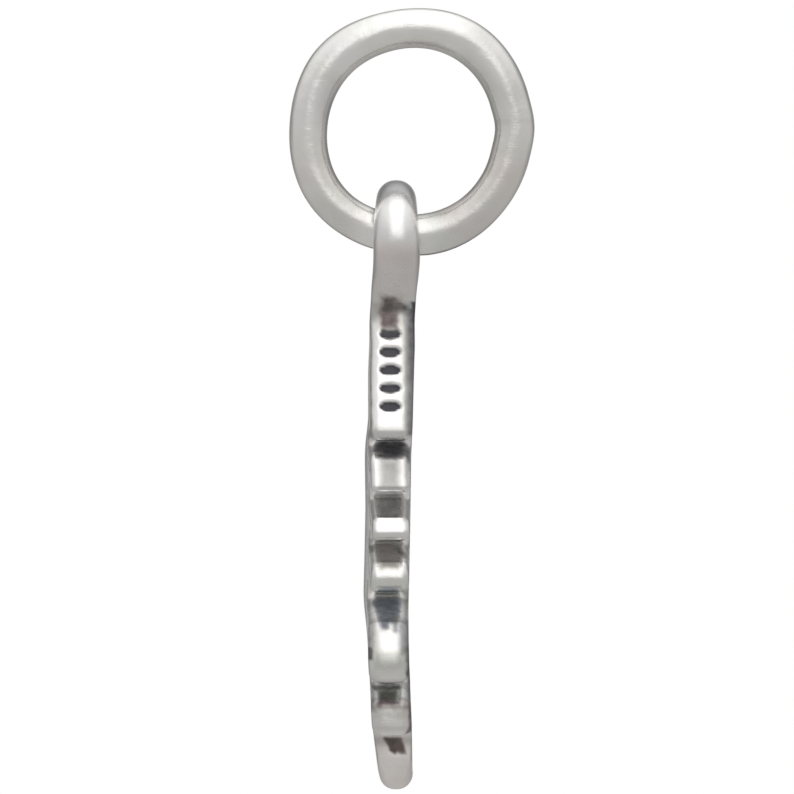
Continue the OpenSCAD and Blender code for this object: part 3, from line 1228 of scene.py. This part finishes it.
    def veins(self, y: np.ndarray, drop: np.ndarray) -> np.ndarray:
        """How deep each point of the front lies in a vein or in the groove beside the midrib.

        Args:
            y: How far to the side each point lies.
            drop: How far each point lies below the loop's middle.

        Returns:
            1 at the bottom of a vein and 0 beside it.
        """
        out = np.abs(y)
        total = np.zeros_like(out)
        fall = math.tan(math.radians(self.slant + self.vein_extra_slant))
        for tip_out, tip_drop in self.vein_ends:
            root_drop = tip_drop - tip_out * fall
            share = np.clip(out / tip_out, 0.0, 1.0)
            line = root_drop + (tip_drop - root_drop) * share**self.vein_bow
            width = self.vein_half * (1.0 - self.vein_taper * share)
            ends = between(out, *self.vein_from) * (1.0 - between(out / tip_out, *self.vein_to))
            total = np.maximum(total, ends * hump(drop, line, width))
        groove = hump(out, self.rib_width(drop), self.groove_half)
        groove = groove * between(drop, *self.groove_from) * (1.0 - between(drop, *self.groove_to))
        return np.maximum(total, self.groove_depth * groove)

    def front_x(self, y: np.ndarray, drop: np.ndarray) -> np.ndarray:
        """How far back the front face lies.

        Args:
            y: How far to the side each point lies.
            drop: How far each point lies below the loop's middle.

        Returns:
            The face's place at each point, without its veins.
        """
        fall = np.minimum(1.0, np.abs(y) / (self.fall_out + self.fall_gain * drop)) ** 2
        lift = self.crown * fall + self.rib_height * (1.0 - self.rib(y, drop))
        return self.side.front(drop) + self.side.rise(drop) * lift

    def edge_profile(self, flat: np.ndarray) -> tuple[np.ndarray, np.ndarray]:
        """The edge's rounded profile, without the two points that the faces end on.

        Args:
            flat: Each row's flat share of the width.

        Returns:
            How far across each point lies, from -1 to 1, and how far out, from 0 to 1.
        """
        turn = np.linspace(0.0, math.pi / 2, self.corner_cols + 1)[None, 1:]
        near = flat[:, None]
        far = near * self.back_flat
        front_corner = near + (1.0 - near) * np.cos(turn)
        back_corner = far + (1.0 - far) * np.cos(turn)
        level = -near + (near + far) * np.linspace(0.0, 1.0, self.flat_cols + 2)[None, 1:-1]
        across = np.concatenate([-front_corner, level, back_corner[:, ::-1]], axis=1)
        rise = np.sin(turn) + 0 * front_corner
        out = np.concatenate([rise, 1.0 + 0 * level, rise[:, ::-1]], axis=1)
        return across, out

    def edge_band(self, walk: Walk, front: np.ndarray, back: np.ndarray) -> tuple[np.ndarray, ...]:
        """The rounded edge between the two faces.

        Args:
            walk: The outline's points.
            front: The front face's place at each row's inner point.
            back: The back face's place there.

        Returns:
            The band's points, how deep each lies in a punched pit, and how far round a corner it lies.
        """
        flat = self.side.flat(-walk.inner[:, 1])
        across, bulge = self.edge_profile(flat)
        corner = (np.abs(across) - flat[:, None]) / (1.0 - flat[:, None])
        x = ((front + back) / 2)[:, None] + ((back - front) / 2)[:, None] * across
        drop = -walk.point[:, 1:]
        pit = self.pit_share(x, drop) * (walk.point[:, :1] > self.pit_out)
        out = walk.reach[:, None] * bulge - self.pit_depth * pit
        y = walk.inner[:, :1] + walk.normal[:, :1] * out
        z = walk.inner[:, 1:] + walk.normal[:, 1:] * out
        return np.stack([x, y, z], axis=-1), pit, corner

    def pit_share(self, x: np.ndarray, drop: np.ndarray) -> np.ndarray:
        """How deep each point of the edge lies in the row of plain oval pits.

        Args:
            x: How far back each point lies.
            drop: How far each point lies below the loop's middle.

        Returns:
            1 at the bottom of a pit and 0 outside.
        """
        total = np.zeros(np.broadcast(x, drop).shape)
        for k in range(self.pits):
            down = (drop - self.pit_first - k * self.pit_pitch) / self.pit_half_z
            away = np.hypot(down, (x - self.pit_x) / self.pit_half_x)
            total = np.maximum(total, 1.0 - between(away, *self.pit_edge))
        return total

    def patina_and_shade(self, x: np.ndarray, drop: np.ndarray, pit: np.ndarray) -> dict[Patch, np.ndarray]:
        """What the finish needs on the edge.

        Args:
            x: How far back each point lies.
            drop: How far each point lies below the loop's middle.
            pit: How deep each point lies in a punched pit, from 0 to 1.

        Returns:
            The soot, the film and the tint at each point.
        """
        run_x, run_drop = x + 0 * drop, drop + 0 * x
        one, two = (waves(seed, self.ragged_count, *self.ragged_lengths) for seed in self.ragged_seeds)
        skew_x, skew_drop = self.ragged_skew
        x = run_x + self.ragged * one(run_drop + skew_x * run_x)
        drop = run_drop + self.ragged * two(run_x + skew_drop * run_drop)
        soot = np.broadcast_to(pit, x.shape).copy()
        film = np.zeros_like(soot)
        tint = np.full_like(soot, self.pit_tint)
        for stain_and_shade in self.stains_and_shade:
            cover = stain_and_shade.cover(x, drop)
            tint = tint + (stain_and_shade.tint - tint) * np.minimum(1.0, self.tint_gain * cover)
            soot = np.maximum(soot, cover * stain_and_shade.soot)
            film = np.maximum(film, cover * stain_and_shade.film)
        return {Patch.SOOT_AND_SHADE: soot, Patch.FILM_AND_SHADE: film, Patch.TINT: tint}

    def face_grid(self, inner: np.ndarray) -> tuple[np.ndarray, np.ndarray]:
        """Points of one half of a face, in rows that slant down from the midrib to the edge.

        Args:
            inner: Where each row ends, as distance out and height.

        Returns:
            How far out each point lies, and its height.
        """
        out, end_z = inner[:, :1], inner[:, 1:]
        root_z = end_z + out * math.tan(math.radians(self.slant))
        knee = np.minimum(self.rib_cols_most, self.rib_cols_out / np.maximum(out, 1e-6))
        near = np.arange(self.rib_cols)[None, :] / self.rib_cols
        far_cols = self.face_cols - self.rib_cols
        far = np.arange(far_cols + 1)[None, :] / far_cols
        share = np.concatenate([knee * near, knee + (1.0 - knee) * far], axis=1)
        return out * share, root_z + (end_z - root_z) * share

    def corner_and_bay_shade(self, drop: np.ndarray, corner: np.ndarray) -> np.ndarray:
        """Painted shade: film on the edge's rounded corners and in its bays, which darkens their highlights
        and glints.

        Args:
            drop: How far each row lies below the loop's middle.
            corner: How far round a corner each point lies.

        Returns:
            The film at each point.
        """
        lobed = between(drop, *self.rim_from) * (1.0 - between(drop, *self.rim_to))
        bays = [circle for circle in self.outline.circles if circle.turn is Turn.BAY]
        middles = [bay.drop + self.bay_below * bay.radius for bay in bays]
        near = sum(hump(drop, middle, self.bay_half) for middle in middles)
        return np.maximum(self.rim_film * smooth(corner / self.rim_full) * lobed, self.bay_film * near)

    def face_marks(
        self, beside: dict[Patch, np.ndarray], seep: np.ndarray, soot: np.ndarray, film: np.ndarray
    ) -> dict[Patch, np.ndarray]:
        """What the finish needs on a face, where the edge's marks seep on to it.

        Args:
            beside: The marks on the edge beside each row.
            seep: How much of them reaches each point.
            soot: The face's own soot.
            film: The face's own film.

        Returns:
            The soot, the film and the tint at each point.
        """
        return {
            Patch.SOOT_AND_SHADE: np.maximum(soot, beside[Patch.SOOT_AND_SHADE] * seep),
            Patch.FILM_AND_SHADE: np.maximum(film, beside[Patch.FILM_AND_SHADE] * seep),
            Patch.TINT: self.face_tint + (beside[Patch.TINT] - self.face_tint) * seep,
        }

    def plate(self, walk: Walk) -> Skin:
        """The leaf's plate: a skin over sections that fan out along the lobes.

        Args:
            walk: The outline below the run from the loop to the neck.

        Returns:
            The plate, with both of its halves.
        """
        y, z = self.face_grid(walk.inner)
        vein = self.veins(y, -z)
        front = np.stack([self.front_x(y, -z) + self.vein_depth * vein, y, z], axis=-1)
        back = np.stack([self.side.back(-z), y, z], axis=-1)[:, ::-1]
        band, pit, corner = self.edge_band(walk, front[:, -1, 0], back[:, 0, 0])
        half = np.concatenate([front, band, back], axis=1)

        edge = self.patina_and_shade(band[:, :, 0], -band[:, :, 2], pit)
        seep = 1.0 - smooth((walk.inner[:, :1] - y) / self.seep_reach)
        hollow = self.face_film * between(-z, *self.face_film_from)
        hollow = hollow * (1.0 - self.rib_clean * self.rib(y, -z))
        first, last = ({key: value[:, side] for key, value in edge.items()} for side in ([0], [-1]))
        on_front = self.face_marks(first, seep, self.vein_soot * vein, hollow)
        on_back = self.face_marks(last, seep, 0 * vein, self.back_film * hollow)
        # painted shade over the corners' highlights and the bays' glints
        edge[Patch.FILM_AND_SHADE] = np.maximum(edge[Patch.FILM_AND_SHADE], self.corner_and_bay_shade(-walk.point[:, 1:], corner))

        mirrored = slice(half.shape[1] - 2, 0, -1)
        points = np.concatenate([half, half[:, mirrored] * np.array([1.0, -1.0, 1.0])], axis=1)
        values = {}
        for key in Patch:
            value = np.concatenate([on_front[key], edge[key], on_back[key][:, ::-1]], axis=1)
            values[key] = np.concatenate([value, value[:, mirrored]], axis=1).ravel()
        return Skin(points.reshape(-1, 3), grid_faces(*points.shape[:2], False)[:, ::-1], values)

    def spokes(self, ends: np.ndarray) -> np.ndarray:
        """Sections that run from a front face in to the loop's hole, round it and out on the back.

        Args:
            ends: Where each section starts and ends, as distance out and height.

        Returns:
            An array of points, one row a section.
        """
        unit = ends / np.hypot(ends[:, 0], ends[:, 1])[:, None]
        rim = unit * (self.hole_r + self.hole_reach)
        share = np.linspace(0.0, 1.0, self.web_cols + 1)[None, :, None]
        sheet = ends[:, None] + (rim - ends)[:, None] * share
        turned = np.linspace(0.0, math.pi, self.hole_cols + 1)[None, 1:-1]
        lip = rim[:, None] - unit[:, None] * (self.hole_reach * np.sin(turned))[:, :, None]
        flat = np.concatenate([sheet, lip, sheet[:, ::-1]], axis=1)
        drop = -flat[:, :, 1]
        front, back = self.side.front(drop), self.side.back(drop)
        ones = np.ones((1, self.web_cols + 1))
        across = np.concatenate([-ones, -np.cos(turned), ones], axis=1)
        x = (front + back) / 2 + (back - front) / 2 * across
        return np.concatenate([x[:, :, None], flat], axis=2)

    def loop(self, walk: Walk, plate_row: np.ndarray) -> Skin:
        """The loop and the web below its hole, fitted to the plate's first section.

        Args:
            walk: The outline from the loop's top to the plate's first section.
            plate_row: The plate's first section, from the midrib's front to the edge.

        Returns:
            The loop, with both of its sides.
        """
        ends = walk.inner
        face = self.spokes(ends)
        band = self.edge_band(walk, face[:, 0, 0], face[:, -1, 0])[0]
        sections = np.concatenate([face, band[:, ::-1]], axis=1)
        mirror = sections[:0:-1] * np.array([1.0, -1.0, 1.0])
        ring = np.concatenate([mirror, sections])
        fan_ends = np.concatenate([plate_row[:0:-1, 1:] * np.array([-1.0, 1.0]), plate_row[:, 1:]])
        web = self.spokes(fan_ends[::-1])
        return self.loop_skin(ring, True).joined(self.loop_skin(web, False))

    def loop_skin(self, points: np.ndarray, cols_close: bool) -> Skin:
        """A part of the loop as a mesh.

        Args:
            points: Its points, one row a section.
            cols_close: Whether a section's last point joins its first.

        Returns:
            The part, with what the finish needs at each point.
        """
        flat = points.reshape(-1, 3)
        x, height = flat[:, 0], flat[:, 2]
        away = np.hypot(flat[:, 1], height)
        hole = 1.0 - between(away, self.hole_r, self.hole_r + self.hole_halo)
        hole = hole * between(-height, *self.hole_low)
        # painted shade on the loop's top, and film that darkens its outside towards the neck
        outside = self.cap_film * between(height, *self.cap) + self.neck_film * between(-height, *self.neck)
        edge = self.patina_and_shade(x, -height, np.zeros(len(flat)))
        on_edge = away > self.outline.loop.radius - self.outline.loop.reach
        film = np.maximum(self.hole_film * hole, outside)
        values = {
            Patch.SOOT_AND_SHADE: np.maximum(edge[Patch.SOOT_AND_SHADE] * on_edge, self.hole_soot * hole),
            Patch.FILM_AND_SHADE: np.maximum(edge[Patch.FILM_AND_SHADE] * on_edge, film),
            Patch.TINT: edge[Patch.TINT],
        }
        return Skin(flat, grid_faces(*points.shape[:2], False, cols_close), values)

    def build(self) -> bpy.types.Object:
        """Makes the casting and fits it to the frame.

        Returns:
            The casting.
        """
        walk, neck_row = self.outline.walk()
        plate = self.plate(walk.part(slice(neck_row, None)))
        first = plate.points[: self.face_cols + 1]
        skin = plate.joined(self.loop(walk.part(slice(0, neck_row + 1)), first))
        skin.points[:, 2] += self.loop_z
        obj = skin.build("leaf_casting", self.finish.material())
        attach(obj, "charm")
        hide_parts("leaf_charm")
        return obj


@dataclass
class Studio:
    """The pale floor, the soft light all round and the camera at the photograph's angle.

    A span tells between which two values of a direction's part a light comes up.
    """

    view_across: float = 19.32
    aim_x: float = -0.324
    aim_z: float = -8.528
    camera_back: float = 200.0
    sensor: float = 36.0
    clip: Span = (0.001, 10.0)
    floor_z: float = -44.0
    floor_r: float = 32.0
    floor_thick: float = 2.0
    floor_sides: int = 96
    tint: Colour = (1.0, 0.990, 0.973)
    shown: Colour = (1.0, 1.0, 1.0)
    # from the front: grey below, a little lighter at eye level, a soft sky and a soft box
    below: float = 0.53
    level: float = 0.57
    level_from: Span = (-0.35, 0.0)
    sky: float = 0.38
    sky_from: Span = (0.05, 0.90)
    box: float = 0.48
    box_from: Span = (-0.03, 0.30)
    box_side: Span = (0.05, 0.60)
    box_x: float = 0.05
    # from behind: dim, with a sky, a floor and a strip of backdrop
    behind: float = 0.27
    behind_from: Span = (0.15, 0.80)
    behind_sky: float = 0.62
    behind_sky_from: Span = (0.40, 0.90)
    behind_floor: float = 0.20
    behind_floor_to: Span = (-0.45, 0.0)
    backdrop: float = 0.25
    backdrop_from: Span = (0.86, 0.97)
    backdrop_up: Span = (-0.22, -0.06)

    def build(self, paper: PalePaper) -> None:
        """Makes the whole set.

        Args:
            paper: The finish of the floor.
        """
        self._floor(paper)
        self._light()
        self._camera()

    def _floor(self, paper: PalePaper) -> None:
        """A round pale table below the charm.

        Args:
            paper: Its finish.
        """
        bpy.ops.mesh.primitive_cylinder_add(
            vertices=self.floor_sides,
            radius=self.floor_r * MM,
            depth=self.floor_thick * MM,
            location=(0.0, 0.0, (self.floor_z - self.floor_thick / 2) * MM),
        )
        floor = bpy.context.object
        floor.name = "studio_floor"
        floor.data.materials.append(paper.material())

    def _light(self) -> None:
        """Soft light from all round: bright overhead, grey at eye level and dim behind."""
        world = bpy.data.worlds.new("studio_light")
        world.use_nodes = True
        g = Graph(world.node_tree)
        direction = g.node("ShaderNodeTexCoord", {}, {}, "Generated")
        parts = [g.node("ShaderNodeSeparateXYZ", {}, {0: direction}, axis) for axis in "XYZ"]
        across, depth, height = parts
        aside = (across - self.box_x).absolute()
        front = self.below + (self.level - self.below) * height.step(*self.level_from)
        front = front + self.sky * height.step(*self.sky_from)
        front = front + self.box * height.step(*self.box_from) * (1.0 - aside.step(*self.box_side))
        back = self.behind + self.behind_sky * height.step(*self.behind_sky_from)
        back = back + self.behind_floor * (1.0 - height.step(*self.behind_floor_to))
        back = back + self.backdrop * depth.step(*self.backdrop_from) * height.step(*self.backdrop_up)
        away = depth.step(*self.behind_from)
        strength = front * (1.0 - away) + back * away
        soft = g.node("ShaderNodeBackground", {}, {"Color": (*self.tint, 1.0), "Strength": strength})
        plain = g.node("ShaderNodeBackground", {}, {"Color": (*self.shown, 1.0), "Strength": 1.0})
        seen = g.node("ShaderNodeLightPath", {}, {}, "Is Camera Ray")
        mixed = g.node("ShaderNodeMixShader", {}, {0: seen, 1: soft, 2: plain})
        g.node("ShaderNodeOutputWorld", {}, {"Surface": mixed})
        bpy.context.scene.world = world
        bpy.context.scene.view_settings.view_transform = "Standard"

    def _camera(self) -> None:
        """A long lens level with the charm, square to the ring."""
        data = bpy.data.cameras.new("studio_camera")
        data.sensor_width = self.sensor
        data.lens = self.sensor * self.camera_back / self.view_across
        data.clip_start, data.clip_end = self.clip
        camera = bpy.data.objects.new("studio_camera", data)
        camera.location = (self.aim_x * MM, -self.camera_back * MM, self.aim_z * MM)
        camera.rotation_euler = (math.radians(90.0), 0.0, 0.0)
        bpy.context.scene.collection.objects.link(camera)
        bpy.context.scene.camera = camera


def main() -> None:
    """Builds the ring, the casting and the studio, and reports each."""
    logging.basicConfig(level=logging.INFO, format="%(message)s")
    ring = JumpRing(Silver("ring_silver")).build()
    log.info("ring: %d faces", len(ring.data.polygons))
    leaf = LeafCharm(Silver("charm_silver")).build()
    log.info("casting: %d faces", len(leaf.data.polygons))
    Studio().build(PalePaper())
    log.info("studio: floor, light and camera")


if __name__ == "__main__":
    main()
